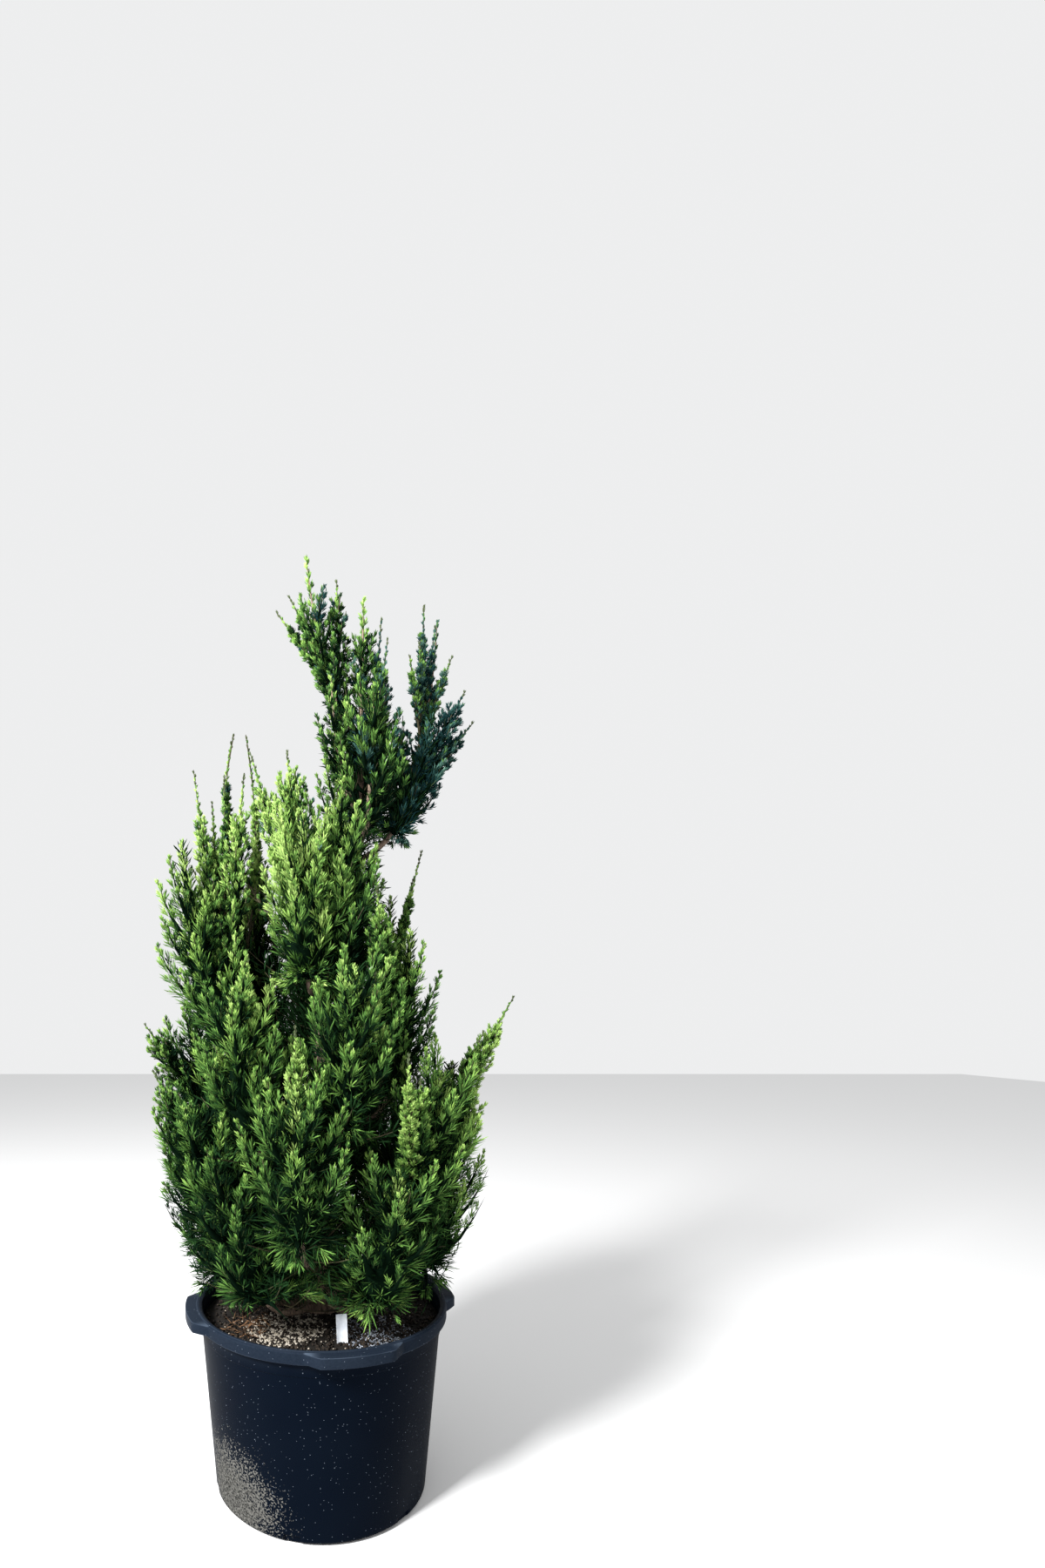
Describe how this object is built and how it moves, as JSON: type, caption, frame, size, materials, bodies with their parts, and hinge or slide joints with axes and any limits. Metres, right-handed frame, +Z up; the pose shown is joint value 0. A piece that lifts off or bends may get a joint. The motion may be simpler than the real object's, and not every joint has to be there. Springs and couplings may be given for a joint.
{
  "type": "potted spiral topiary juniper",
  "caption": "Juniper trained as a loose spiral topiary, with one band of flame-shaped foliage round a leaning trunk, in a black nursery container.",
  "frame": {"origin": "centre of the container's flat underside, which stands on the ground", "axes": "+Z up along the container's axis; -Y is the front that the picture shows; +X is the plant's right-hand side as seen from the front"},
  "size_m": [0.8838, 0.8397, 2.0517],
  "materials": {
    "pot": "satin",
    "potting_mix": "matte",
    "tag": "satin",
    "bark": "matte",
    "foliage": "matte"
  },
  "bodies": {
    "root": {"pot": "pot", "potting_mix": "potting_mix", "plant_tag": "tag", "trunk": "bark", "bough_05": "bark", "bough_06": "bark", "bough_07": "bark", "bough_08": "bark", "bough_09": "bark", "bough_10": "bark", "bough_11": "bark", "bough_12": "bark", "bough_13": "bark", "bough_14": "bark", "bough_15": "bark", "bough_16": "bark", "bough_17": "bark", "bough_18": "bark", "bough_19": "bark", "bough_20": "bark", "bough_21": "bark", "bough_22": "bark", "bough_23": "bark", "bough_24": "bark", "spiral_01": "foliage", "spiral_02": "foliage", "spiral_03": "foliage", "spiral_04": "foliage", "spiral_05": "foliage", "spiral_06": "foliage", "spiral_07": "foliage", "spiral_08": "foliage", "spiral_09": "foliage", "spiral_10": "foliage", "spiral_11": "foliage", "spiral_12": "foliage", "spiral_13": "foliage", "spiral_14": "foliage", "spiral_15": "foliage", "spiral_16": "foliage", "spiral_17": "foliage", "spiral_18": "foliage", "spiral_19": "foliage", "spiral_20": "foliage", "spiral_21": "foliage", "spiral_22": "foliage", "spiral_23": "foliage", "spiral_24": "foliage", "head_low": "foliage", "head_left": "foliage", "head_front": "foliage", "head_right": "foliage", "head_back": "foliage", "wing_right": "foliage", "crest_left": "foliage", "crest_leader": "foliage"}
  },
  "joints": []
}
